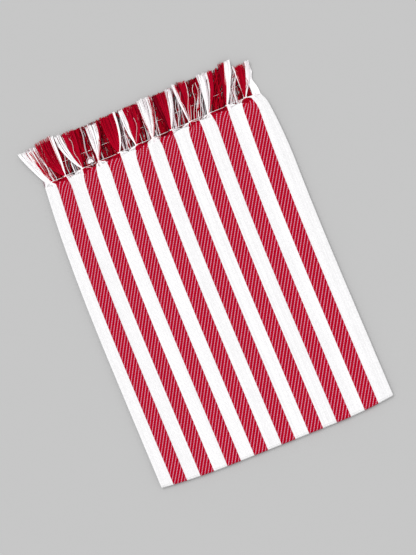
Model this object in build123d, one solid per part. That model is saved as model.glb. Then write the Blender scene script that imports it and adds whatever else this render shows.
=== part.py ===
from build123d import *
import os

# A coarse cotton twill bath mat with lengthwise red and white stripes and a knotted fringe on each
# end, folded in half across its length and lying flat.
# Units are millimetres. While building, x runs along the fold from its left corner, y runs from the
# fold towards the fringes and z is up. The finished parts are moved so that the origin is the
# centre of the bottom of the whole object's box.

# Cloth, measured across the stripes at the fold. The hand-woven stripes widen towards the right.
mat_width = 502.0
left_margin = 25.0
first_stripe_width = 28.4
last_stripe_width = 30.7
red_stripe_count = 8
cloth_thickness = 4.0

# Fold: the two leaves lie this far apart, and the cloth turns round a half circle between them
leaf_gap = 1.0
fold_clearance = 0.15  # between the fold bands and the edge of each leaf
fold_inner_radius = leaf_gap / 2
fold_outer_radius = fold_inner_radius + cloth_thickness
fold_axis_height = fold_outer_radius

# Leaves, measured from the fold
upper_length_left = 655.0
upper_length_right = 671.0
lower_overhang = 3.0  # the lower leaf ends this much further out
lean_left = -0.0177  # sideways per mm of length: the stripes run a degree or more off square
lean_right = -0.0228
gather_start = 180.0  # beyond this the fringe knots draw the cloth sideways, more and more
gather_left = 17.5
gather_right = 12.4
shoulder_length = 158.0  # the right-hand corner is rounded off over this length
shoulder_pull = 15.4
side_bends = 10  # straight lengths that make up the gathered part of a stripe's side

# Fringe. The upper bundles are pulled tight against the cloth. The lower ones are held loosely,
# further out.
upper_knots = (26, 51, 90, 126, 170, 209, 244, 284, 326, 367, 407, 447)
lower_first_knot = 26.0
lower_knot_pitch = 39.0
fringe_left = -13.0
fringe_right = 471.0
upper_fringe_length = 84.0
lower_fringe_length = 79.0
upper_neck_width = 7.0
lower_neck_width = 30.0
lower_neck_distance = 25.0  # from the end of the cloth
neck_length = 6.0
tassel_thickness = 3.0
tassel_spacing = 1.2

# Binding thread: a collar round each neck and a straight run from one collar to the next
collar_wall = 1.2
collar_length = 3.0
thread_thickness = 1.4
thread_overlap = 0.2

tassel_count = len(upper_knots)
fell_slope = (upper_length_right - upper_length_left) / mat_width
tassel_inset = (cloth_thickness - tassel_thickness) / 2
upper_level = cloth_thickness + leaf_gap


def stripe_lines():
    """The x of every line between stripes at the fold, from the left edge to the right edge."""
    lines = [0.0, left_margin]
    inner_count = 2 * red_stripe_count - 1
    for i in range(inner_count):
        widening = (last_stripe_width - first_stripe_width) * i / (inner_count - 1)
        lines.append(lines[-1] + first_stripe_width + widening)
    return lines + [mat_width]


def fell_y(x, overhang):
    """The y of the last weft yarn, which runs a little out of square."""
    return upper_length_left + fell_slope * x + overhang


def stripe_lean(x):
    """How far the warp end that crosses the fold at x runs sideways, per mm of length."""
    return lean_left + (lean_right - lean_left) * x / mat_width


def gather_pull(x):
    """How far the fringe knots draw the warp end that crosses the fold at x sideways."""
    return gather_left + (gather_right - gather_left) * x / mat_width


def corner_pull(x):
    """How far the right-hand edge is drawn back at its corner. Only that edge is."""
    return shoulder_pull if x == mat_width else 0.0


def warp_end_y(x, overhang):
    """The y at which the warp end that crosses the fold at x meets the fell."""
    drawn_x = x + gather_pull(x) - corner_pull(x)
    return fell_y(drawn_x, overhang) / (1 - fell_slope * stripe_lean(x))


def cloth_x(x, y, end_y):
    """Where the warp end that crosses the fold at x lies at a distance y from the fold."""
    gathered = max((y - gather_start) / (end_y - gather_start), 0.0) ** 3
    rounded = max((y - end_y + shoulder_length) / shoulder_length, 0.0) ** 2
    return x + stripe_lean(x) * y + gather_pull(x) * gathered - corner_pull(x) * rounded


def stripe_side(x, overhang):
    """The points along one side of a stripe, from the fold to the fell."""
    end_y = warp_end_y(x, overhang)
    steps = [i / side_bends for i in range(side_bends + 1)]
    bends = [gather_start + (end_y - gather_start) * step for step in steps]
    return [(cloth_x(x, y, end_y), y) for y in [fold_clearance] + bends]


def slab(points, bottom, height):
    """A flat solid of the given plan outline."""
    face = make_face(Polyline(*points, close=True))
    return Pos(0, 0, bottom) * extrude(face, amount=height)


def stripe(left, right, overhang, level):
    """One stripe of one leaf."""
    outline = stripe_side(left, overhang) + stripe_side(right, overhang)[::-1]
    return slab(outline, level, cloth_thickness)


def fold_band(left, right):
    """The half tube of one stripe where it turns round the fold."""
    width = right - left
    outside = Cylinder(fold_outer_radius, width, rotation=(0, 90, 0))
    inside = Cylinder(fold_inner_radius, width, rotation=(0, 90, 0))
    size = 2 * fold_outer_radius
    fringe_side = Pos(0, size / 2, 0) * Box(width, size, size)
    band = outside - inside - fringe_side
    return Pos((left + right) / 2, 0, fold_axis_height) * band


def tip_span(index):
    """The x of both corners of one bundle's outer end."""
    share = (fringe_right - fringe_left) / tassel_count
    left = fringe_left + index * share + tassel_spacing / 2
    return left, left + share - tassel_spacing


def upper_tassel(index):
    """One tight bundle of warp ends: a narrow neck at the cloth, then a flat fan."""
    knot = upper_knots[index]
    tip_left, tip_right = tip_span(index)
    neck_y = fell_y(knot, 0.0) + neck_length
    tip_y = fell_y(knot, 0.0) + upper_fringe_length
    half = upper_neck_width / 2
    outline = [
        (knot - half, fell_y(knot - half, 0.0)),
        (knot - half, neck_y),
        (tip_left, tip_y),
        (tip_right, tip_y),
        (knot + half, neck_y),
        (knot + half, fell_y(knot + half, 0.0)),
    ]
    return slab(outline, upper_level + tassel_inset, tassel_thickness)


def lower_tassel(index):
    """One loose bundle of warp ends: as wide as its share of the cloth, with a waist."""
    knot = lower_knots[index]
    tip_left, tip_right = tip_span(index)
    root = (lower_knot_pitch - tassel_spacing) / 2
    waist = lower_neck_width / 2
    waist_y = fell_y(knot, lower_overhang) + lower_neck_distance
    tip_y = fell_y(knot, lower_overhang) + lower_fringe_length
    outline = [
        (knot - root, fell_y(knot - root, lower_overhang)),
        (knot - waist, waist_y),
        (knot - waist, waist_y + neck_length),
        (tip_left, tip_y),
        (tip_right, tip_y),
        (knot + waist, waist_y + neck_length),
        (knot + waist, waist_y),
        (knot + root, fell_y(knot + root, lower_overhang)),
    ]
    return slab(outline, tassel_inset, tassel_thickness)


def collar(knot, overhang, level, width):
    """The turns of binding thread round the neck of one bundle, at its middle."""
    wound = Box(width + 2 * collar_wall, collar_length, cloth_thickness)
    opening = Box(width, collar_length, tassel_thickness)
    middle = cloth_thickness / 2
    return Pos(knot, fell_y(knot, overhang) + neck_length / 2, level + middle) * (wound - opening)


def thread_run(knot, next_knot, overhang, level, width):
    """The straight run of binding thread from one collar to the next."""
    reach = width / 2 + collar_wall - thread_overlap
    start, end = knot + reach, next_knot - reach
    start_y = fell_y(start, overhang) + neck_length / 2
    end_y = fell_y(end, overhang) + neck_length / 2
    half = thread_thickness / 2
    outline = [(start, start_y - half), (end, end_y - half), (end, end_y + half), (start, start_y + half)]
    return slab(outline, level + cloth_thickness / 2 - half, thread_thickness)


def binding_thread(knots, overhang, level, width):
    """One whole binding thread as a single solid."""
    thread = collar(knots[0], overhang, level, width)
    for knot, next_knot in zip(knots, knots[1:]):
        thread += thread_run(knot, next_knot, overhang, level, width)
        thread += collar(next_knot, overhang, level, width)
    return thread


def leaf_stripes(name, lines, overhang, level):
    """Every stripe of one leaf, white and red by turns from the left edge."""
    made = {}
    for i, (left, right) in enumerate(zip(lines, lines[1:])):
        colour = "red" if i % 2 else "white"
        made[f"{name}_{colour}_stripe_{i // 2 + 1}"] = stripe(left, right, overhang, level)
    return made


lower_knots = [lower_first_knot + i * lower_knot_pitch for i in range(tassel_count)]
lines = stripe_lines()
bands = [fold_band(left, right) for left, right in zip(lines, lines[1:])]

parts = leaf_stripes("upper", lines, 0.0, upper_level)
parts |= leaf_stripes("lower", lines, lower_overhang, 0.0)
parts["fold_white_bands"] = Compound(children=bands[0::2])
parts["fold_red_bands"] = Compound(children=bands[1::2])
for i in range(tassel_count):
    parts[f"upper_tassel_{i + 1:02d}"] = upper_tassel(i)
parts["lower_tassels"] = Compound(children=[lower_tassel(i) for i in range(tassel_count)])
parts["upper_binding_thread"] = binding_thread(upper_knots, 0.0, upper_level, upper_neck_width)
parts["lower_binding_thread"] = binding_thread(
    lower_knots, lower_overhang + lower_neck_distance, 0.0, lower_neck_width
)

boxes = [part.bounding_box() for part in parts.values()]
low_x, high_x = min(box.min.X for box in boxes), max(box.max.X for box in boxes)
low_y, high_y = min(box.min.Y for box in boxes), max(box.max.Y for box in boxes)
to_origin = Pos(-(low_x + high_x) / 2, -(low_y + high_y) / 2, 0)
fold_axis = to_origin * Pos(mat_width / 2, 0, fold_axis_height)
print("fold axis passes through", fold_axis.position)
print("box", high_x - low_x, high_y - low_y, max(box.max.Z for box in boxes))

os.makedirs("parts", exist_ok=True)
for name, part in parts.items():
    export_step(to_origin * part, f"parts/{name}.step")
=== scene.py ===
import math
import random
from types import SimpleNamespace

import bpy
import numpy as np
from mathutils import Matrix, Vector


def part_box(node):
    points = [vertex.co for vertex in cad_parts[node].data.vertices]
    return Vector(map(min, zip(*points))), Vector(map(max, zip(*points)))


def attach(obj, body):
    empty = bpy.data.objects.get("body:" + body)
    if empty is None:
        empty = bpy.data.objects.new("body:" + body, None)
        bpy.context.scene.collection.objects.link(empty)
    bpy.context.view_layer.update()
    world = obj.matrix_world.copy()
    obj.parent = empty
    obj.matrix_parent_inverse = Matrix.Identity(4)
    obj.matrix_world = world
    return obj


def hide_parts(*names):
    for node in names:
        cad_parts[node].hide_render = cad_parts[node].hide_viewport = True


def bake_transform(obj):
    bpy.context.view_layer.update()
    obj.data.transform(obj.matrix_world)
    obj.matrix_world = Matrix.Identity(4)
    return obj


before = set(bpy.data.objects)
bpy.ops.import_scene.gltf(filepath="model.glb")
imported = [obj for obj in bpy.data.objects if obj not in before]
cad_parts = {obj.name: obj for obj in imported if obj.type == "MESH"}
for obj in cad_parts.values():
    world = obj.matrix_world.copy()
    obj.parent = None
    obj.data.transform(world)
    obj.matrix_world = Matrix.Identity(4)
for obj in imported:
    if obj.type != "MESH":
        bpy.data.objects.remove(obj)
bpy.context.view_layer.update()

# A striped cotton bath mat, folded in half, with a knotted fringe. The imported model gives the
# bodies and the boxes; this script makes the woven cloth, the loose yarns and their looks.
# Lengths are millimetres, measured as the CAD model measures them: x along the fold from its left
# corner, y from the fold towards the fringes, z up. place() turns them into the frame's metres.
MM = 0.001
white_low, white_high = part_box("fold_white_bands")
red_low, red_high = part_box("fold_red_bands")
upper_low, upper_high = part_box("upper_white_stripe_1")
lower_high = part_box("lower_white_stripe_1")[1]
fold_corner = np.array([white_low.x, white_high.y, 0.0]) / MM

# Cloth
red_stripe_count = 8
mat_width = (white_high.x - white_low.x) / MM
left_margin = (red_low.x - white_low.x) / MM
last_line = (red_high.x - white_low.x) / MM
first_stripe_width = 28.4
last_stripe_width = 30.7
upper_top = upper_high.z / MM
upper_bottom = upper_low.z / MM
lower_top = lower_high.z / MM
fold_axis_height = (upper_bottom + lower_top) / 2
fold_inner_radius = (upper_bottom - lower_top) / 2
fold_outer_radius = upper_top / 2
upper_middle = (upper_top + upper_bottom) / 2
lower_middle = lower_top / 2

# The leaves' plan, as in the CAD model
upper_length_left = 655.0
upper_length_right = 671.0
fell_slope = (upper_length_right - upper_length_left) / mat_width
lower_overhang = 3.0
lean_left = -0.0177
lean_right = -0.0228
gather_start = 180.0
gather_left = 17.5
gather_right = 12.4
shoulder_length = 158.0
shoulder_pull = 15.4

# The fold isn't quite straight: both of its corners are drawn in
fold_corner_left = 8.0
fold_corner_right = 9.0
fold_curve_left = 150.0
fold_curve_right = 132.0
fold_curve_reach = 120.0

# Yarn. Warp ends run along y and weft picks along x.
stripe_ends = 16
left_margin_ends = 14
right_margin_ends = 18
pick_pitch = 3.02
twill_repeat = 4
fold_picks = 4
fold_clearance = 0.00003  # as a share of a leaf's length
side_groove = 0.40  # how far the side of a yarn lies below its crest
crossing_drop = 0.28  # how far a yarn that passes under another lies below that one's crest
float_end_drop = 0.22
selvedge_drop = 1.5
selvedge_loop = 0.35
ripple_depth = 0.5

# Woven end, where the knots draw the cloth together
woven_trim = 6.0
knot_reach = 24.0
corner_turn = 9.0  # the right-hand corner turns in this much more, close to the fell
corner_turn_length = 28.0
last_pull = 3.5
last_pull_length = 45.0

# Fringe
fringe_left = 6.5
fringe_right = 475.0
upper_knots = np.array([26, 51, 90, 126, 170, 209, 244, 284, 326, 367, 407, 447], float)
tassel_count = len(upper_knots)
lower_first_knot = 26.0
lower_knot_pitch = 39.0
lower_knots = lower_first_knot + lower_knot_pitch * np.arange(tassel_count)
root_depth = 3.0  # how far inside the cloth every loose yarn starts
upper_yarn_sides = 6
lower_yarn_sides = 5

# Upper fringe. A row of twelve has one value for each tassel, from the left.
upper_tips = (
    (-23, 17), (18, 58), (58, 99), (120, 152), (157, 190), (198, 236),
    (238, 269), (272, 313), (318, 345), (371, 402), (420, 446), (446, 479),
)
upper_fringe_lengths = (76, 87, 82, 77, 81, 79, 83, 80, 84, 82, 86, 69)
# how widely a white yarn spreads across its fan, where a red one counts 1
white_weights = (1.6, 0.35, 1.0, 1.0, 0.1, 0.9, 1.0, 0.6, 0.7, 1.0, 0.9, 0.35)
# a fan of roundness 1 has straight sides, and a rounder one opens sooner above its knot
fan_roundness = (1.25, 2.8, 2.2, 1.9, 2.7, 2.4, 2.2, 1.8, 2.2, 1.8, 1.2, 1.5)
# how far the red plies stray from their place, as a share of the fan's width
tangles = (0.45, 0.05, 0.06, 0.05, 0.04, 0.03, 0.06, 0.05, 0.04, 0.08, 0.1, 0.06)
white_strays = (0, 0, 2, 0, 0, 1, 2, 0, 3, 1, 0, 0)
upper_stray_radii = {"white": 0.3, "red": 0.4}
plies = 4
ply_pitch = 0.7
ply_radii = (0.40, 0.50)
tip_taper = 0.6
greatest_lift = 0.4  # how much higher the most tangled red plies lie
lock_sizes = (2, 4)  # how few and how many warp ends lie together
lock_tightness = 0.75
upper_seed = 300
# every bundle is bound tightly at its knot, but the first one loosely, at the corner of the cloth
neck_middles = np.array([17, *upper_knots[1:]])
first_neck_half_width = 7.5
neck_half_width = 3.0
neck_half_widths = np.array([first_neck_half_width] + [neck_half_width] * (tassel_count - 1))
neck_half_height = 1.25
neck_start_distance = 2.0  # from the fell
neck_end_distance = 5.0
knot_distance = 2.8  # from the fell to the middle of a knot
slant_curve = 2.4  # how late a yarn turns aside towards its knot
fan_crest = 0.35  # how far out a fan is thickest, as a share of its length

# Lower fringe
lower_fringe_length = 79.0
waist_distance = 28.0
waist_share = waist_distance / lower_fringe_length
waist_width = 0.8  # the width of a bundle's waist, as a share of the width at its root
# how far the lower fringe's tips lean to the right of their roots, at a few places along the cloth
lower_lean_places = (5, 100, 200, 260, 330, 375, 400, 430, 475)
lower_leans = (-6, 6, 8, 12, 26, 34, 36, 26, 0)
# how far its locks scatter sideways: at their tips, then where they leave the cloth
lower_spread = {"red": 14.0, "white": 5.0}
lower_root_spread = {"red": 11.0, "white": 3.0}
# each warp end has a lowest lock, painted near black as shade under the others, and this many more
# above it
lower_locks = {"red": 3, "white": 1}
lower_plies = 3
deep_plies = 2
lower_ply_radii = (0.42, 0.55)
# the height of the locks' layers over the middle of the leaf
lower_layer = {"red": 0.55, "white": 1.1}
deep_layer = -1.0
# these sink to the lowest layer and are painted near black too, as shade
sunken_white_share = 0.5  # of the white locks, those that lie out of sight
lower_limit = {"red": 462.0, "white": 475.0}  # no lock reaches further right than this
lower_seed = 55
lower_corner = 459.0  # beyond this the lower fringe hangs straight from its own warp ends
lower_corner_spread = 1.5
# the lower fringe beyond the corner lies in the open, so its painted shade is kept light
corner_darkest_tone = 0.1
# how much shorter the lower fringe is towards the right-hand corner, by where its tips lie
lower_cut_places = (430, 446)
lower_cuts = (0, 15)
# single white strands that lie on top of the lower fringe, by where they leave the cloth
lower_strays = (62, 136, 221, 233, 300, 334, 340, 347, 352, 422)
lower_stray_radius = 0.4
tuft_x, tuft_y = 110.0, 664.5  # a little tuft of waste yarn
tuft_size = (8.0, 12.5)
tuft_loops = (1.0, 0.7, 0.6, 0.5, 0.4, 0.3, 0.2)
tuft_radius = 0.6

# Binding threads
turn_steps = 14
turn_pitch = 2.1  # how many radii apart the turns lie
upper_thread_radius = 0.36
upper_thread_turns = 3
upper_thread_gap = 0.6
upper_thread_half_height = 1.6
upper_run_level = 0.8
lower_thread_radius = 0.24
lower_thread_turns = 1
lower_thread_half_width = 15.0
lower_thread_half_height = 1.65
# the lower thread's runs lie on top near the third and fourth knots, and sink in elsewhere
raised_runs_middle = 125.0
raised_runs_reach = 30.0
raised_run_level = 0.7
sunken_run_level = -0.3


def place(points):
    """Millimetres from the fold's corner, as metres in the frame."""
    return (np.asarray(points, float) + fold_corner) * MM


def smooth(share):
    """A share from 0 to 1 with a gentle start and end."""
    share = np.clip(share, 0.0, 1.0)
    return share * share * (3 - 2 * share)


def fell_y(x):
    """The y of the upper leaf's last weft yarn."""
    return upper_length_left + fell_slope * x


def ripple(x, y):
    """How far the upper leaf dips at a place, from 0 to ripple_depth: long shallow waves."""
    waves = np.sin(x / 61 + y / 97) + np.sin(x / 113 - y / 71 + 2.1) + np.sin(y / 39 + 0.7) * 0.5
    return ripple_depth * (0.5 + waves / 5) * smooth(y / 60)


# Cloth ---------------------------------------------------------------------------------------


def stripe_list():
    """Every stripe from the left edge: its colour, number, sides at the fold and warp ends."""
    inner_count = 2 * red_stripe_count - 1
    lines = [0.0, left_margin]
    for i in range(inner_count):
        widening = (last_stripe_width - first_stripe_width) * i / (inner_count - 1)
        lines.append(lines[-1] + first_stripe_width + widening)
    lines.append(mat_width)
    counts = [left_margin_ends] + [stripe_ends] * (2 * red_stripe_count - 1) + [right_margin_ends]
    stripes = []
    first_end = 0
    for i, count in enumerate(counts):
        stripes.append(
            SimpleNamespace(
                colour="red" if i % 2 else "white",
                number=i // 2 + 1,
                left=lines[i],
                right=lines[i + 1],
                first_end=first_end,
                ends=count,
                lean=1 if i % 2 else -1,
            )
        )
        first_end += count
    return stripes


def fold_curve(x):
    """How far in from the fold's middle line the fold lies at x."""
    left = np.clip(1 - x / fold_curve_left, 0.0, 1.0) ** 2
    right = np.clip(1 - (mat_width - x) / fold_curve_right, 0.0, 1.0) ** 2
    return fold_corner_left * left + fold_corner_right * right


def knot_phase(x, knots):
    """Where x lies between its knot (0) and the next bundle (-1 or 1), and that half width."""
    middles = (knots[1:] + knots[:-1]) / 2
    limits = np.concatenate(([fringe_left], middles, [fringe_right]))
    nearest = np.searchsorted(middles, x)
    gap = x - knots[nearest]
    half = np.where(gap < 0, knots[nearest] - limits[nearest], limits[nearest + 1] - knots[nearest])
    return np.clip(gap / half, -1.0, 1.0), half


def lay_cloth(leaf, x, share):
    """Where the warp end that crosses the fold at x lies, a share of the way to its woven end."""
    lean = lean_left + (lean_right - lean_left) * x / mat_width
    even_pull = gather_left + (gather_right - gather_left) * x / mat_width
    corner = np.clip((x - last_line) / (mat_width - last_line), 0.0, 1.0)
    end_x = x + even_pull - shoulder_pull * corner
    end_y = (fell_y(end_x) + leaf.overhang) / (1 - fell_slope * lean)
    y = share * (end_y - woven_trim)
    gathered = even_pull * np.clip((y - gather_start) / (end_y - gather_start), 0.0, 1.0) ** 3
    rounded = shoulder_pull * corner * np.clip((y - end_y) / shoulder_length + 1, 0.0, 1.0) ** 2
    late = np.clip((y - end_y) / last_pull_length + 1, 0.0, 1.0) ** 2
    rightness = np.clip(2 * x / mat_width - 1, 0.0, 1.0) * (1 - corner)
    turned = corner_turn * corner * np.clip((y - end_y) / corner_turn_length + 1, 0.0, 1.0) ** 2
    across = x + lean * y + gathered - rounded - turned - last_pull * rightness * late
    phase, half = knot_phase(across, leaf.knots)
    near_end = np.clip(1 - (end_y - woven_trim - y) / knot_reach, 0.0, 1.0) ** 2
    across = across - near_end * leaf.squeeze * half / math.pi * np.sin(math.pi * phase)
    y = y + near_end * leaf.bow * np.cos(math.pi * phase)
    return across, y + fold_curve(x) * np.clip(1 - y / fold_curve_reach, 0.0, 1.0) ** 2


def float_depths(on_top):
    """How deep a face of long floats lies below its crests, at the middles and sides of its yarns.

    The floats run along the second axis, and on_top says where they pass over the other yarns.
    """
    across, along = on_top.shape
    depths = np.full((2 * across + 1, 2 * along + 1), side_groove)
    depths[1::2, 1::2] = np.where(on_top, 0.0, crossing_drop)
    running = on_top[:, 1:] & on_top[:, :-1]
    depths[1::2, 2:-1:2] = np.where(running, 0.0, float_end_drop)
    return depths


def weave(stripe, first_pick, picks):
    """Both faces' depths over one stripe: the warp-faced side, then the weft-faced side."""
    ends = stripe.first_end + np.arange(stripe.ends)
    rows = first_pick - 1 + np.arange(picks + 2)
    weft_on_face = (ends[:, None] - stripe.lean * rows[None, :]) % twill_repeat == 0
    face = float_depths(~weft_on_face)[:, 2:-2]
    back = float_depths(~weft_on_face.T).T[:, 2:-2]
    return face, back


def yarn_middles(count):
    """Every other column of a face's lattice, the yarns' middles, with both outer sides."""
    return np.concatenate(([0], np.arange(1, 2 * count, 2), [2 * count]))


def selvedge(stripe, columns, rows):
    """How far the mat's own edges are rounded down and pushed out by the turning weft."""
    drop = np.zeros((len(columns), rows))
    push = np.zeros((len(columns), rows))
    loops = selvedge_loop * (np.arange(rows) % 2)
    if stripe.left == 0:
        drop[0] = selvedge_drop
        drop[1] = selvedge_drop / 5
        push[0] = -loops
    if stripe.right == mat_width:
        drop[-1] = selvedge_drop
        drop[-2] = selvedge_drop / 5
        push[-1] = loops
    return drop, push


def leaf_face(leaf, stripe, columns, depths, first_pick, picks, level, up):
    """The points of one face of one stripe of a leaf, and each point's place in the weave."""
    rows = np.arange(2 * picks + 1)
    x = stripe.left + (stripe.right - stripe.left) * columns / (2 * stripe.ends)
    share = np.clip(rows / (2 * picks), fold_clearance, 1.0)
    across, along = lay_cloth(leaf, x[:, None], share[None, :])
    drop, push = selvedge(stripe, columns, len(rows))
    dip = ripple(across, along) if leaf.name == "upper" else 0.0
    height = level - dip - up * (depths + drop)
    points = np.stack([across + push, along, height], -1)
    place_in_weave = np.empty_like(points)
    place_in_weave[..., 0] = (stripe.first_end + columns / 2)[:, None]
    place_in_weave[..., 1] = (first_pick + leaf.pick_way * rows / 2)[None, :]
    place_in_weave[..., 2] = 0.0 if (up > 0) == leaf.face_up else 1.0
    return points, place_in_weave


def grid_quads(first, columns, rows):
    """The faces between the neighbouring points of a grid whose first point has that number."""
    corner = first + np.arange(columns - 1)[:, None] * rows + np.arange(rows - 1)[None, :]
    return np.stack([corner, corner + rows, corner + rows + 1, corner + 1], -1).reshape(-1, 4)


def closed_cloth(top, bottom, first):
    """The curved faces of a closed slab's two grids, then the flat ones that join their sides."""
    columns, rows = top.shape[:2]
    under_columns = bottom.shape[0]
    under = first + columns * rows
    left = np.arange(rows)
    right = left + (columns - 1) * rows
    under_right = left + (under_columns - 1) * rows

    def wall(side, under_side):
        a, b = first + side, under + under_side
        return np.stack([a[:-1], a[1:], b[1:], b[:-1]], -1)

    def cap(row):
        over = first + np.arange(columns) * rows + row
        below = under + np.arange(under_columns)[::-1] * rows + row
        return np.concatenate([over, below]).tolist()

    curved = grid_quads(first, columns, rows).tolist()
    curved += grid_quads(under, under_columns, rows)[:, ::-1].tolist()
    flat = wall(left, left).tolist() + wall(right, under_right)[:, ::-1].tolist()
    flat += [cap(0)[::-1], cap(rows - 1)]
    return curved, flat


def add_piece(name, points, curved, flat, material, attributes):
    """A new object in the frame with smooth curved faces, flat faces and per-point attributes."""
    mesh = bpy.data.meshes.new(name)
    mesh.from_pydata(place(points).tolist(), [], curved + flat)
    shading = np.zeros(len(mesh.polygons), bool)
    shading[: len(curved)] = True
    mesh.polygons.foreach_set("use_smooth", shading)
    for key, values in attributes.items():
        kind = "FLOAT_VECTOR" if values.ndim == 2 else "FLOAT"
        field = "vector" if values.ndim == 2 else "value"
        layer = mesh.attributes.new(key, kind, "POINT")
        layer.data.foreach_set(field, values.astype(np.float32).ravel())
    mesh.materials.append(material)
    mesh.update()
    piece = bpy.data.objects.new(name, mesh)
    bpy.context.scene.collection.objects.link(piece)
    return piece


def leaf_stripe(leaf, stripe, material):
    """One stripe of one leaf as a closed piece of woven cloth."""
    columns = np.arange(2 * stripe.ends + 1)
    sparse = yarn_middles(stripe.ends)
    # the lower leaf's picks count backwards from the fold, so its weave is made back to front
    low_pick = leaf.first_pick if leaf.pick_way > 0 else leaf.first_pick - leaf.picks
    face, back = weave(stripe, low_pick, leaf.picks)
    if leaf.pick_way < 0:
        face, back = face[:, ::-1], back[:, ::-1]
    top_columns = columns if leaf.face_up else sparse
    top_depths = (face if leaf.face_up else back)[top_columns]
    bottom_depths = (back if leaf.face_up else face)[sparse]
    top, top_weave = leaf_face(
        leaf, stripe, top_columns, top_depths, leaf.first_pick, leaf.picks, leaf.top, 1
    )
    bottom, bottom_weave = leaf_face(
        leaf, stripe, sparse, bottom_depths, leaf.first_pick, leaf.picks, leaf.bottom, -1
    )
    points = np.concatenate([top.reshape(-1, 3), bottom.reshape(-1, 3)])
    places = np.concatenate([top_weave.reshape(-1, 3), bottom_weave.reshape(-1, 3)])
    curved, flat = closed_cloth(top, bottom, 0)
    name = f"{leaf.name}_{stripe.colour}_stripe_{stripe.number}"
    piece = add_piece(f"{name}_cloth", points, curved, flat, material, {"weave": places})
    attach(piece, f"{leaf.name}_leaf")
    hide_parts(name)
    return piece


def fold_face(stripe, columns, depths, radius, outward, side):
    """One face of the half tube in which a stripe turns round the fold."""
    rows = np.arange(2 * fold_picks + 1)
    turn = math.pi * rows / (2 * fold_picks)  # 0 at the lower leaf, pi at the upper leaf
    drop, push = selvedge(stripe, columns, len(rows))
    reach = radius - outward * (depths + drop)
    x = stripe.left + (stripe.right - stripe.left) * columns / (2 * stripe.ends)
    points = np.empty((len(columns), len(rows), 3))
    points[..., 0] = x[:, None] + push
    points[..., 1] = fold_curve(x)[:, None] - reach * np.sin(turn)
    points[..., 2] = fold_axis_height - reach * np.cos(turn)
    places = np.empty_like(points)
    places[..., 0] = (stripe.first_end + columns / 2)[:, None]
    places[..., 1] = (rows / 2 - fold_picks)[None, :]
    places[..., 2] = side
    return points, places


def fold_bands(colour, stripes, material):
    """Every half tube of one colour, as one piece."""
    points, places, curved, flat = [], [], [], []
    count = 0
    for stripe in stripes:
        face, back = weave(stripe, -fold_picks, fold_picks)
        columns = np.arange(2 * stripe.ends + 1)
        sparse = yarn_middles(stripe.ends)
        outer, outer_places = fold_face(stripe, columns, face, fold_outer_radius, 1, 0.0)
        inner, inner_places = fold_face(stripe, sparse, back[sparse], fold_inner_radius, -1, 1.0)
        more_curved, more_flat = closed_cloth(outer, inner, count)
        curved += more_curved
        flat += more_flat
        points += [outer.reshape(-1, 3), inner.reshape(-1, 3)]
        places += [outer_places.reshape(-1, 3), inner_places.reshape(-1, 3)]
        count += outer.shape[0] * outer.shape[1] + inner.shape[0] * inner.shape[1]
    # the grids' rows run from the lower leaf up, which turns every face inside out
    curved = [quad[::-1] for quad in curved]
    flat = [ring[::-1] for ring in flat]
    name = f"fold_{colour}_bands"
    piece = add_piece(
        f"{name}_cloth", np.concatenate(points), curved, flat, material,
        {"weave": np.concatenate(places)},
    )
    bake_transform(piece)
    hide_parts(name)
    return piece


# Loose yarns ---------------------------------------------------------------------------------


class Yarns:
    """Round yarns that are gathered up and then made into one piece."""

    def __init__(self, sides):
        self.sides = sides
        self.points, self.curved, self.flat = [], [], []
        self.ply, self.tone = [], []
        self.count = 0

    def add(self, line, radius, tone):
        """One yarn along a line of points, with its radius at each point and a tone from 0 to 1."""
        line = np.asarray(line, float)
        ahead = np.gradient(line, axis=0)
        ahead /= np.linalg.norm(ahead, axis=1)[:, None]
        beside = np.cross(ahead, [0.0, 0.0, 1.0])
        beside /= np.linalg.norm(beside, axis=1)[:, None]
        above = np.cross(beside, ahead)
        angles = 2 * math.pi * np.arange(self.sides) / self.sides
        outward = beside[:, None] * np.cos(angles)[:, None]
        outward = outward + above[:, None] * np.sin(angles)[:, None]
        rings = line[:, None] + outward * np.broadcast_to(radius, len(line))[:, None, None]
        gone = np.concatenate([[0.0], np.cumsum(np.linalg.norm(np.diff(line, axis=0), axis=1))])
        ply = np.empty_like(rings)
        ply[..., 0] = np.cos(angles)
        ply[..., 1] = np.sin(angles)
        ply[..., 2] = gone[:, None]
        rows = np.arange(len(line) - 1)[:, None] * self.sides + self.count
        here = np.arange(self.sides)[None, :]
        after = (here + 1) % self.sides
        corners = [rows + here, rows + here + self.sides, rows + after + self.sides, rows + after]
        self.curved += np.stack(corners, -1).reshape(-1, 4).tolist()
        last = self.count + (len(line) - 1) * self.sides
        self.flat.append(list(range(self.count, self.count + self.sides)))
        self.flat.append(list(range(last, last + self.sides))[::-1])
        self.points.append(rings.reshape(-1, 3))
        self.ply.append(ply.reshape(-1, 3))
        self.tone.append(np.full(rings.shape[0] * rings.shape[1], tone))
        self.count += rings.shape[0] * rings.shape[1]

    def make(self, name, body, replaced, slot, material):
        """The piece, riding on its body and standing for its CAD node."""
        piece = add_piece(
            name, np.concatenate(self.points), self.curved, self.flat, material,
            {"ply": np.concatenate(self.ply), "tone": np.concatenate(self.tone)},
        )
        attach(piece, body)
        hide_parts(replaced)
        return piece


def fringe_roots(leaf, stripes):
    """Every warp end where it leaves the cloth: its place, colour, and bundle."""
    roots = []
    for stripe in stripes:
        for i in range(stripe.ends):
            x = stripe.left + (stripe.right - stripe.left) * (i + 0.5) / stripe.ends
            across, along = lay_cloth(leaf, np.array([x]), np.array([1.0]))
            middles = (leaf.knots[1:] + leaf.knots[:-1]) / 2
            bundle = int(np.searchsorted(middles, across[0]))
            root = SimpleNamespace(x=across[0], y=along[0], colour=stripe.colour, bundle=bundle)
            roots.append(root)
    return roots


root_rows = 7
neck_rows = 3
fan_rows = 11
lower_rows = np.linspace(0, 1, 13)
stray_rows = np.linspace(0, 1, 25)


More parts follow.
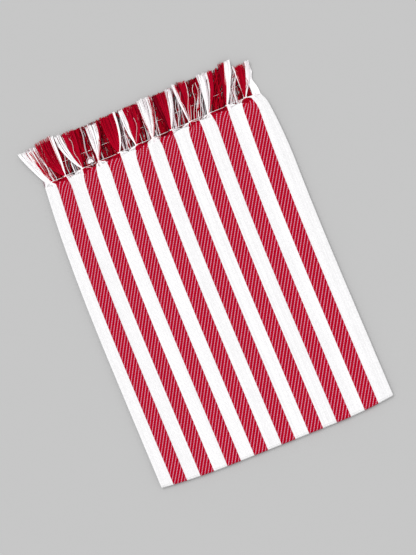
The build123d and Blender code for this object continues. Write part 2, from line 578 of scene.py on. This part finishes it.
def upper_strand(root, neck_x, tip_x, tip_y, bulge, sway, heights):
    """The line of one ply: out of the cloth, slantwise to the knot, through it and fanning out."""
    neck_start = fell_y(neck_x) + neck_start_distance
    neck_end = fell_y(neck_x) + neck_end_distance
    inside = np.array([root.y - root_depth])
    slant = root.y + (neck_start - root.y) * np.arange(root_rows) / root_rows
    neck = np.linspace(neck_start, neck_end, neck_rows)
    fan_share = np.arange(1, fan_rows + 1) / fan_rows
    fan = neck_end + (tip_y - neck_end) * fan_share
    slant_share = (slant - root.y) / (neck_start - root.y)
    y = np.concatenate([inside, slant, neck, fan])
    x = np.concatenate([
        [root.x],
        root.x + (neck_x - root.x) * slant_share ** slant_curve,
        np.full(neck_rows, neck_x),
        neck_x + (tip_x - neck_x) * (1 - (1 - fan_share) ** bulge) + sway(fan_share),
    ])
    root_z, neck_z, fan_z, tip_z = heights
    crest_y = neck_end + (tip_y - neck_end) * fan_crest
    at = [y[0], root.y, neck_start, neck_end, crest_y, tip_y]
    z = np.interp(y, at, [root_z, root_z, neck_z, neck_z, fan_z, tip_z])
    return np.stack([x, y, z], -1)


def wavy(size, turns, start):
    """A sideways sway that grows along a yarn."""
    return lambda share: size * share * np.sin(2 * math.pi * (turns * share + start))


corner_sway = wavy(4.0, 1.4, 0.0)


def near_tone(draw, tone):
    """A ply's own tone, close to that of the lock it lies in."""
    return min(max(tone + draw.gauss(0, 0.1), 0.0), 1.0)


def tip_shares(mine, white_weight):
    """Where each warp end of a bundle lies across its fan, from 0 to 1. Red yarns spread more."""
    weights = np.array([white_weight if root.colour == "white" else 1.0 for root in mine])
    return (np.cumsum(weights) - weights / 2) / weights.sum()


def upper_tip_y(index):
    """The y of an upper tassel's outer end."""
    return fell_y(neck_middles[index]) + upper_fringe_lengths[index]


def draw_lock(draw, shares, rank):
    """A few warp ends that lie together: how many are left, and their place, sway and tone."""
    size = draw.randint(*lock_sizes)
    last = min(rank + size, len(shares)) - 1
    return SimpleNamespace(
        left=size,
        share=(shares[rank] + shares[last]) / 2 + draw.gauss(0, 0.012),
        sway=wavy(draw.uniform(0.3, 1.3), draw.uniform(0.4, 0.9), draw.random()),
        y=draw.gauss(0, 1.2),
        z=draw.uniform(-0.5, 0.5),
        # the lock's tone, at random: it picks the plies' colour from base to middle and how much
        # painted shade they take
        tone=draw.random(),
    )


def fan_ply(draw, index, root, ply, share, lock):
    """One ply of a warp end in an upper tassel: its line, then its radius at each point."""
    red = root.colour == "red"
    side = 2 * share - 1
    thickness = math.sqrt(1 - 0.6 * side * side)  # a fan is thinner towards its sides
    tangle = draw.gauss(0, tangles[index]) if red else 0.0
    lift = min(tangles[index] * 2, greatest_lift) if red else 0.0
    own_share = lock.share + (share - lock.share) * lock_tightness
    # a ply that would stray past either side of the fan is turned back into it
    ply_share = 1 - abs(1 - abs(own_share + tangle))
    own_sway = wavy(draw.uniform(0.1, 0.6), draw.uniform(0.8, 1.6), draw.random())
    heights = (
        upper_middle + (ply - (plies - 1) / 2) * ply_pitch,
        upper_middle + draw.uniform(-1, 1) * neck_half_height,
        upper_middle + (draw.uniform(-0.9, 0.9) + lock.z) * thickness + lift,
        upper_middle + draw.uniform(-1.5, 1.2) + lift / 2,
    )
    tip_left, tip_right = upper_tips[index]
    line = upper_strand(
        SimpleNamespace(x=root.x + draw.uniform(-0.6, 0.6), y=root.y),
        neck_middles[index] + neck_half_widths[index] * (side * 0.85 + draw.uniform(-0.15, 0.15)),
        tip_left + (tip_right - tip_left) * ply_share + draw.uniform(-1.0, 1.0),
        upper_tip_y(index) + lock.y + draw.gauss(0, 0.9),
        fan_roundness[index] + draw.gauss(0, 0.08),
        lambda fan_share: own_sway(fan_share) + lock.sway(fan_share),
        heights,
    )
    radius = np.full(len(line), draw.uniform(*ply_radii))
    radius[-1] *= tip_taper
    return line, radius


def upper_stray(draw, index, mine):
    """The line of a single curled strand that lies over an upper tassel."""
    tip_left, tip_right = upper_tips[index]
    return upper_strand(
        draw.choice(mine),
        neck_middles[index],
        tip_left + (tip_right - tip_left) * draw.random(),
        upper_tip_y(index) - draw.uniform(2, 25),
        draw.uniform(0.9, 1.8),
        wavy(draw.uniform(2.0, 5.0), draw.uniform(0.7, 1.5), draw.random()),
        (upper_middle + 1.0, upper_middle + 1.2, upper_top - 0.5, upper_top - 0.8),
    )


def upper_tassel(index, roots, materials):
    """One bundle of the upper fringe, as a piece of red yarns and a piece of white yarns."""
    draw = random.Random(upper_seed + index)
    yarns = {"red": Yarns(upper_yarn_sides), "white": Yarns(upper_yarn_sides)}
    mine = [root for root in roots if root.bundle == index]
    shares = tip_shares(mine, white_weights[index])
    lock = SimpleNamespace(left=0)
    for rank, (root, share) in enumerate(zip(mine, shares)):
        if lock.left == 0:
            lock = draw_lock(draw, shares, rank)
        lock.left -= 1
        for ply in range(plies):
            line, radius = fan_ply(draw, index, root, ply, share, lock)
            yarns[root.colour].add(line, radius, near_tone(draw, lock.tone))
    # every second tassel also has one red strand lying over it
    for colour, count in (("white", white_strays[index]), ("red", index % 2)):
        for _ in range(count):
            line = upper_stray(draw, index, mine)
            yarns[colour].add(line, upper_stray_radii[colour], draw.random())
    name = f"upper_tassel_{index + 1:02d}"
    return [
        group.make(
            f"{name}_{colour}_yarns", "upper_leaf", name, f"{colour}_cotton", materials[colour]
        )
        for colour, group in yarns.items()
        if group.points
    ]


def lower_lean(x, share):
    """How far the lower fringe leans to the right, a share of the way from root to tip."""
    return np.interp(x, lower_lean_places, lower_leans) * share


def draw_lower_lock(draw, root, lowest):
    """A few plies of a lower warp end that lie together: their places, layer, sway and tone."""
    at_corner = root.x > lower_corner
    spread = lower_corner_spread if at_corner else lower_spread[root.colour]
    root_spread = lower_corner_spread if at_corner else lower_root_spread[root.colour]
    knot_x = lower_knots[root.bundle]
    waist_x = knot_x + (root.x - knot_x) * waist_width + lower_lean(root.x, waist_share)
    sunken = root.colour == "white" and draw.random() < sunken_white_share
    # lowest and sunken locks lie deep and take tone 1, which paints them near black as shade
    deep = (lowest or sunken) and left_margin < root.x < lower_corner
    layer = deep_layer if deep else lower_layer[root.colour] + draw.uniform(-0.8, 0.8)
    places = [
        root.x,
        root.x + draw.gauss(0, root_spread),
        waist_x + draw.gauss(0, spread * 0.7),
        root.x + lower_lean(root.x, 1.0) + draw.gauss(0, spread),
    ]
    tone = 1.0 if deep else draw.random() * (corner_darkest_tone if at_corner else 1.0)
    loose_sway = wavy(draw.uniform(0.4, 2.2), draw.uniform(0.6, 1.4), draw.random())
    return SimpleNamespace(
        plies=deep_plies if deep else lower_plies,
        layer=layer,
        places=places,
        tone=tone,
        sway=corner_sway if at_corner else loose_sway,
        limit=lower_limit[root.colour] - abs(draw.gauss(0, 3.0)),
    )


def lower_ply(draw, root, lock):
    """The line of one ply in the lower fringe: out of the cloth, through the waist to its tip."""
    fell = fell_y(lower_knots[root.bundle]) + lower_overhang
    aside = draw.uniform(-0.9, 0.9)
    tip_y = fell + lower_fringe_length - abs(draw.gauss(0, 3.0))
    tip_y -= np.interp(lock.places[-1], lower_cut_places, lower_cuts)
    at = [root.y - root_depth, root.y, fell + waist_distance, tip_y]
    y = root.y - root_depth + (tip_y - root.y + root_depth) * lower_rows
    x = np.interp(y, at, lock.places) + aside
    x[1:-1] = (x[:-2] + 2 * x[1:-1] + x[2:]) / 4
    x = np.minimum(x + lock.sway(lower_rows), max(lock.limit, root.x))
    z = lower_middle + lock.layer + draw.uniform(-0.3, 0.3)
    z = z + np.sin(lower_rows * 5 + draw.random() * 6) * 0.12
    return np.stack([x, y, z], -1)


def lower_stray(draw, start):
    """The line of a single curled strand that lies on top of the lower fringe."""
    y = fell_y(start) + (lower_fringe_length - draw.uniform(4, 14)) * stray_rows
    x = start + lower_lean(start, 1.0) * stray_rows
    x = x + wavy(draw.uniform(2.5, 5.0), draw.uniform(1.0, 1.8), draw.random())(stray_rows)
    z = np.full(len(stray_rows), lower_top + 0.5)
    return np.stack([x, y, z], -1)


def add_tuft(yarns):
    """A little tuft of waste yarn: one wide loop, and a knob of smaller loops inside it."""
    angles = np.linspace(0, math.pi, 11)
    for size in tuft_loops:
        x = tuft_x - tuft_size[0] * size * np.cos(angles)
        y = tuft_y + tuft_size[1] * size * np.sin(angles)
        z = np.full(len(angles), lower_top + 1.4 - size)
        # the wider loops lie lower and take a darker tone, which is painted shade
        yarns.add(np.stack([x, y, z], -1), tuft_radius, size * 0.6)


def lower_fringe(roots, materials):
    """The whole lower fringe: loose bundles with a slack waist, in a red and a white piece."""
    draw = random.Random(lower_seed)
    yarns = {"red": Yarns(lower_yarn_sides), "white": Yarns(lower_yarn_sides)}
    for root in roots:
        for i in range(lower_locks[root.colour] + 1):
            lock = draw_lower_lock(draw, root, i == 0)
            for _ in range(lock.plies):
                line = lower_ply(draw, root, lock)
                radius = draw.uniform(*lower_ply_radii)
                yarns[root.colour].add(line, radius, near_tone(draw, lock.tone))
    for start in lower_strays:
        yarns["white"].add(lower_stray(draw, start), lower_stray_radius, 0.0)
    add_tuft(yarns["white"])
    return [
        group.make(
            f"lower_tassels_{colour}_yarns", "lower_leaf", "lower_tassels", f"{colour}_cotton",
            materials[colour],
        )
        for colour, group in yarns.items()
    ]


def bound_thread(name, body, knots, distance, size, middle, run_levels, turns, radius, material):
    """One binding thread: turns round every bundle, with a straight run to the next."""
    half_widths, half_height = size
    line = []
    angles = np.arange(turns * turn_steps + 1) * 2 * math.pi / turn_steps
    for knot, half_width, run_level in zip(knots, half_widths, run_levels):
        y = fell_y(knot) + distance
        wound = np.stack(
            [
                knot - half_width * np.cos(angles),
                y + radius * turn_pitch * (angles / (2 * math.pi) - turns / 2),
                middle + half_height * np.sin(angles),
            ],
            -1,
        )
        line += wound.tolist()
        line.append([knot + half_width * 0.9, y + 0.3, middle + half_height * run_level])
    yarns = Yarns(upper_yarn_sides)
    yarns.add(line[:-1], radius, 0.5)
    return yarns.make(name, body, name.removesuffix("_yarn"), "binding_thread", material)


def upper_binding_thread(material):
    """The upper thread, wound round every tight knot."""
    return bound_thread(
        "upper_binding_thread_yarn", "upper_leaf", neck_middles, knot_distance,
        (neck_half_widths + upper_thread_gap, upper_thread_half_height), upper_middle,
        np.full(tassel_count, upper_run_level), upper_thread_turns, upper_thread_radius, material,
    )


def lower_binding_thread(material):
    """The lower thread, laid round every loose waist."""
    waists = lower_knots + lower_lean(lower_knots, waist_share)
    half_widths = np.full(tassel_count, lower_thread_half_width)
    raised = abs(lower_knots - raised_runs_middle) < raised_runs_reach
    return bound_thread(
        "lower_binding_thread_yarn", "lower_leaf", waists, lower_overhang + waist_distance,
        (half_widths, lower_thread_half_height), lower_middle,
        np.where(raised, raised_run_level, sunken_run_level), lower_thread_turns,
        lower_thread_radius, material,
    )


# Materials -----------------------------------------------------------------------------------

# Colours are linear. The white is bleached cotton. The weft is white cotton too; in the red stripes
# it is painted darker and pink: painted shade under the red warp round it, with a painted pink cast
# of light thrown back from that warp.
red_warp = (0.38, 0.0005, 0.013, 1.0)
# painted shade and a painted pink cast on the white weft of the red stripes
pink_shaded_weft = (0.54, 0.285, 0.40, 1.0)
white_warp = (0.735, 0.73, 0.735, 1.0)
# the white weft is painted a little darker than the warp: painted shade, which draws the faint grey
# twill lines
white_weft = (0.69, 0.68, 0.70, 1.0)
red_yarn = (0.37, 0.0005, 0.011, 1.0)
# a brighter crimson: partly a tone of the yarn, partly a painted highlight of lit strands
crimson_yarn = (0.50, 0.003, 0.030, 1.0)
# the dark ends of the yarns' tones: painted shade, as between the locks and under other yarns
shaded_red_yarn = (0.06, 0.0, 0.002, 1.0)
white_yarn = (0.95, 0.94, 0.95, 1.0)
# the white yarn's dark end: painted shade
shaded_white_yarn = (0.62, 0.54, 0.57, 1.0)
# the lower white yarns' middle tone: painted shade with a painted pink cast from the red yarns
# round them
pink_shaded_white_yarn = (0.80, 0.62, 0.68, 1.0)
shadow_yarn = (0.035, 0.0, 0.001, 1.0)
floor_albedo = 0.395
# how dark the sides of the yarns are painted, as shade in the grooves between them, in red and in
# white
red_groove_darkness = 0.6
white_groove_darkness = 0.85
yarn_twist_pitch = 3.2
thread_twist_pitch = 1.4
# the oval that one yarn makes where it crosses over the others
crossing_narrowness = 5.5
crossing_reach = 4.0


class Tree:
    """One material's node tree, with short calls to add a node and join what feeds it."""

    def __init__(self, name):
        self.material = bpy.data.materials.new(name)
        self.material.use_nodes = True
        self.tree = self.material.node_tree
        self.shader = self.tree.nodes["Principled BSDF"]

    def feed(self, socket, value):
        """Joins another node's output to a socket, or sets the socket's own value."""
        if isinstance(value, bpy.types.NodeSocket):
            self.tree.links.new(value, socket)
        else:
            socket.default_value = value

    def add(self, kind, inputs=(), **settings):
        """A new node with its settings, and its named inputs fed."""
        node = self.tree.nodes.new("ShaderNode" + kind)
        for key, value in settings.items():
            setattr(node, key, value)
        for key, value in dict(inputs).items():
            self.feed(node.inputs[key], value)
        return node

    def math(self, operation, *values):
        node = self.add("Math", operation=operation)
        for socket, value in zip(node.inputs, values):
            self.feed(socket, value)
        return node.outputs[0]

    def vector(self, x, y, z):
        return self.add("CombineXYZ", {"X": x, "Y": y, "Z": z}).outputs[0]

    def noise(self, vector, scale, detail=2.0):
        inputs = {"Vector": vector, "Scale": scale, "Detail": detail}
        return self.add("TexNoise", inputs).outputs["Fac"]

    def chance(self, vector):
        """A value from 0 to 1 that is different for every whole place."""
        node = self.add("TexWhiteNoise", {"Vector": vector}, noise_dimensions="3D")
        return node.outputs["Value"]

    def mix(self, share, first, second):
        node = self.add("Mix", data_type="RGBA")
        self.feed(node.inputs[0], share)
        self.feed(node.inputs[6], first)
        self.feed(node.inputs[7], second)
        return node.outputs[2]

    def scale(self, colour, factor):
        node = self.add("VectorMath", operation="SCALE")
        self.feed(node.inputs[0], colour)
        self.feed(node.inputs["Scale"], factor)
        return node.outputs[0]

    def span(self, value, low, high):
        """A value from 0 to 1, spread over low to high."""
        return self.math("MULTIPLY_ADD", value, high - low, low)

    def dress(self, colour, roughness, height=None, strength=0.0):
        """The material, with its matt surface finished and, given heights, finely bumped."""
        self.feed(self.shader.inputs["Base Color"], colour)
        self.feed(self.shader.inputs["Roughness"], roughness)
        self.shader.inputs["Specular IOR Level"].default_value = 0.03
        if height is not None:
            bump = self.add("Bump", {"Height": height, "Strength": strength, "Distance": 0.0002})
            self.feed(self.shader.inputs["Normal"], bump.outputs[0])
        return self.material


def cloth_material(name, lean, warp, weft, groove_darkness, detailed):
    """Twill of one colour of warp and another of weft, where the weft's colour holds painted shade,
    with painted shade in the grooves between yarns. Detailed cloth also has fine fibre.
    """
    tree = Tree(name)
    place_in_weave = tree.add("Attribute", attribute_name="weave").outputs["Vector"]
    parts = tree.add("SeparateXYZ", {"Vector": place_in_weave}).outputs
    uneven = tree.noise(place_in_weave, 0.9)
    end_place = tree.math("ADD", parts["X"], tree.span(uneven, -0.16, 0.16))
    pick_place = tree.math("ADD", parts["Y"], tree.span(uneven, -0.12, 0.12))
    end = tree.math("FLOOR", end_place)
    pick = tree.math("FLOOR", pick_place)
    twill_line = tree.math("SUBTRACT", end, tree.math("MULTIPLY", pick, lean))
    step = tree.math("FLOORED_MODULO", twill_line, twill_repeat)
    beside_end = tree.span(tree.math("FRACT", end_place), -1.0, 1.0)
    beside_pick = tree.span(tree.math("FRACT", pick_place), -1.0, 1.0)
    off_end = tree.math("ABSOLUTE", beside_end)
    off_pick = tree.math("ABSOLUTE", beside_pick)
    # where one yarn crosses over the long floats it shows as an oval along the twill line
    leaning = tree.math("MULTIPLY", beside_pick, lean)
    along_line = tree.math("ABSOLUTE", tree.math("ADD", beside_end, leaning))
    off_line = tree.math("ABSOLUTE", tree.math("SUBTRACT", beside_end, leaning))
    along_square = tree.math("POWER", along_line, 2.0)
    off_square = tree.math("POWER", off_line, 2.0)
    off_middle = tree.math("MULTIPLY_ADD", off_square, crossing_narrowness, along_square)
    inside = tree.math("LESS_THAN", off_middle, crossing_reach)
    crossing = tree.math("MULTIPLY", tree.math("LESS_THAN", step, 0.5), inside)
    back = tree.math("GREATER_THAN", parts["Z"], 0.5)
    weft_shows = tree.math("ABSOLUTE", tree.math("SUBTRACT", crossing, back))
    # the sides of the yarns are painted darker: painted shade in the grooves between them
    groove = tree.add("Mix", data_type="FLOAT")
    tree.feed(groove.inputs[0], weft_shows)
    tree.feed(groove.inputs[2], tree.math("POWER", off_end, 3.0))
    tree.feed(groove.inputs[3], tree.math("POWER", off_pick, 3.0))
    groove_shade = tree.span(groove.outputs[0], 1.0, groove_darkness)
    yarn_shade = tree.span(tree.chance(tree.vector(end, weft_shows, 0.0)), 0.94, 1.04)
    cell_shade = tree.span(tree.chance(tree.vector(end, pick, 3.0)), 0.96, 1.03)
    patch = tree.noise(place_in_weave, 0.05)
    patch_shade = tree.span(patch, 0.96, 1.04)
    shade = tree.math("MULTIPLY", groove_shade, tree.math("MULTIPLY", yarn_shade, cell_shade))
    shade = tree.math("MULTIPLY", shade, patch_shade)
    colour = tree.scale(tree.mix(weft_shows, warp, weft), shade)
    if not detailed:
        return tree.dress(colour, 0.9)
    stretched = tree.add("VectorMath", operation="MULTIPLY")
    tree.feed(stretched.inputs[0], place_in_weave)
    stretched.inputs[1].default_value = (9.0, 2.0, 1.0)
    fibre = tree.noise(stretched.outputs[0], 1.0, 4.0)
    return tree.dress(colour, tree.span(fibre, 0.82, 0.98), fibre, 0.25)


def yarn_material(name, base, middle, dark, darkening, twist_pitch, detailed):
    """Loose plied yarn: painted shade in the lines of twist round it, and every ply its own tone,
    from base through middle to a dark that is painted shade.
    """
    tree = Tree(name)
    ply = tree.add("Attribute", attribute_name="ply").outputs["Vector"]
    parts = tree.add("SeparateXYZ", {"Vector": ply}).outputs
    tone = tree.add("Attribute", attribute_name="tone").outputs["Fac"]
    # how much painted shade a ply takes, by its tone
    deep = tree.math("POWER", tone, darkening)
    turn = tree.math("MULTIPLY", parts["Z"], 2 * math.pi / twist_pitch)
    cosine = tree.math("MULTIPLY", parts["X"], tree.math("COSINE", turn))
    sine = tree.math("MULTIPLY", parts["Y"], tree.math("SINE", turn))
    twist = tree.span(tree.math("ADD", cosine, sine), 0.5, 1.0)
    own_place = tree.math("MULTIPLY", tone, 40.0)
    stretched = tree.math("MULTIPLY", parts["Z"], 0.12)
    streak_place = tree.vector(parts["X"], own_place, stretched)
    streak = tree.noise(streak_place, 2.0)
    # random streaks along the yarn, times painted shade along the grooves of its twist
    streaks_and_twist_shade = tree.math("MULTIPLY", tree.span(streak, 0.85, 1.1), tree.span(twist, 0.85, 1.05))
    colour = tree.scale(tree.mix(deep, tree.mix(tone, base, middle), dark), streaks_and_twist_shade)
    if not detailed:
        return tree.dress(colour, 0.9)
    return tree.dress(colour, tree.span(streak, 0.78, 0.95), twist, 0.35)


def floor_material():
    """A plain pale matt board."""
    tree = Tree("pale_floor")
    coordinates = tree.add("TexCoord").outputs["Object"]
    grain = tree.noise(coordinates, 9.0, 3.0)
    level = tree.span(grain, floor_albedo * 0.995, floor_albedo * 1.005)
    return tree.dress(tree.vector(level, level, level), 0.95)


def cloth_looks():
    """The twill of each leaf and colour. The lower leaf's has no fibre, as little of it shows."""
    looks = {}
    for leaf, ending, detailed in (("upper", "", True), ("lower", "_below", False)):
        looks[leaf, "red"] = cloth_material(
            f"red_twill{ending}", 1, red_warp, pink_shaded_weft, red_groove_darkness, detailed
        )
        looks[leaf, "white"] = cloth_material(
            f"white_twill{ending}", -1, white_warp, white_weft, white_groove_darkness, detailed
        )
    return looks


def yarn_looks():
    """The loose yarns of each leaf and colour. The lower ones are painted darker, as shade under
    the others.
    """
    pitch = yarn_twist_pitch
    return {
        "upper": {
            "red": yarn_material(
                "red_yarn", red_yarn, crimson_yarn, shaded_red_yarn, 4.0, pitch, True
            ),
            "white": yarn_material(
                "white_yarn", white_yarn, white_yarn, shaded_white_yarn, 4.0, pitch, True
            ),
        },
        "lower": {
            "red": yarn_material(
                "red_yarn_below", red_yarn, red_yarn, shadow_yarn, 1.6, pitch, False
            ),
            "white": yarn_material(
                "white_yarn_below", white_yarn, pink_shaded_white_yarn, shadow_yarn, 3.0, pitch, False
            ),
        },
    }


def thread_look():
    """The white binding thread, twisted more tightly than the yarns."""
    pitch = thread_twist_pitch
    # its middle tone takes a little of the grey dark end, which is painted shade
    return yarn_material("binding_thread", white_yarn, white_yarn, shaded_white_yarn, 4.0, pitch, True)


# Making --------------------------------------------------------------------------------------


def leaf_plans():
    """The upper and the lower leaf: their knots, heights and picks."""
    upper = SimpleNamespace(
        name="upper", overhang=0.0, knots=upper_knots, bow=-2.5, squeeze=0.55,
        top=upper_top, bottom=upper_bottom, face_up=True, pick_way=1, first_pick=0,
        picks=round((upper_length_left - woven_trim) / pick_pitch),
    )
    lower = SimpleNamespace(
        name="lower", overhang=lower_overhang, knots=lower_knots, bow=0.0, squeeze=0.2,
        top=lower_top, bottom=0.0, face_up=False, pick_way=-1, first_pick=-fold_picks,
        picks=round((upper_length_left + lower_overhang - woven_trim) / pick_pitch),
    )
    return upper, lower


def make_mat():
    """Both leaves, the fold, both fringes and their threads."""
    stripes = stripe_list()
    upper, lower = leaf_plans()
    cloths = cloth_looks()
    yarns = yarn_looks()
    thread = thread_look()
    for leaf in (upper, lower):
        for stripe in stripes:
            material = cloths[leaf.name, stripe.colour]
            leaf_stripe(leaf, stripe, material)
    bands = {}
    for colour in ("red", "white"):
        group = [stripe for stripe in stripes if stripe.colour == colour]
        bands[colour] = fold_bands(colour, group, cloths["upper", colour])
    upper_roots = fringe_roots(upper, stripes)
    tassels = [upper_tassel(i, upper_roots, yarns["upper"]) for i in range(tassel_count)]
    lower_pieces = lower_fringe(fringe_roots(lower, stripes), yarns["lower"])
    upper_thread = upper_binding_thread(thread)
    lower_pieces.append(lower_binding_thread(thread))
    declare_cloth(stripes, bands, tassels, upper_thread, lower_pieces)


def declare_cloth(stripes, bands, tassels, upper_thread, lower_extras):
    """Gathers, for every stripe, the yarns and fold bands that go with it; nothing more is done
    with them.
    """
    for leaf in ("upper", "lower"):
        for stripe in stripes:
            extras = []
            if leaf == "upper":
                for knot, pieces in zip(upper_knots, tassels):
                    if stripe.left <= knot < stripe.right:
                        extras += pieces
                if stripe.number == 1:
                    extras.append(bands[stripe.colour])
                if stripe.number == 1 and stripe.colour == "white":
                    extras.append(upper_thread)
            elif stripe.number == 1 and stripe.colour == "white":
                extras += lower_extras


floor_size = 12.0  # metres
surround_strength = 1.0
key_strength = 1.68
key_softness = math.radians(40)
key_tilt = (math.radians(-32), math.radians(-14), 0.0)
camera_height = 3.1  # metres
camera_turn = math.radians(-21.7)
camera_x, camera_y = 243.2, 363.4
camera_lens = 100


def make_floor():
    """The plain pale floor that the mat lies on."""
    bpy.ops.mesh.primitive_grid_add(size=floor_size, x_subdivisions=4, y_subdivisions=4)
    floor = bpy.context.object
    floor.name = "floor"
    floor.data.materials.append(floor_material())


def make_light():
    """An even white surround, and a broad soft light from above the fringe."""
    world = bpy.data.worlds.new("studio")
    bpy.context.scene.world = world
    world.use_nodes = True
    background = world.node_tree.nodes["Background"]
    background.inputs["Color"].default_value = (1.0, 1.0, 1.0, 1.0)
    background.inputs["Strength"].default_value = surround_strength
    key = bpy.data.lights.new("key", "SUN")
    key.energy = key_strength
    key.angle = key_softness
    lamp = bpy.data.objects.new("key", key)
    lamp.rotation_euler = key_tilt
    bpy.context.scene.collection.objects.link(lamp)


def make_camera():
    """Straight down on the middle of the mat, turned so that the fringe lies at the upper left."""
    lens = bpy.data.cameras.new("camera")
    lens.lens = camera_lens
    lens.sensor_width = 36
    lens.clip_end = 100
    camera = bpy.data.objects.new("camera", lens)
    across, along, top = place([camera_x, camera_y, upper_top])
    camera.location = (across, along, top + camera_height)
    camera.rotation_euler = (0.0, 0.0, camera_turn)
    bpy.context.scene.collection.objects.link(camera)
    bpy.context.scene.camera = camera
    bpy.context.scene.view_settings.view_transform = "Standard"


make_mat()
make_floor()
make_light()
make_camera()
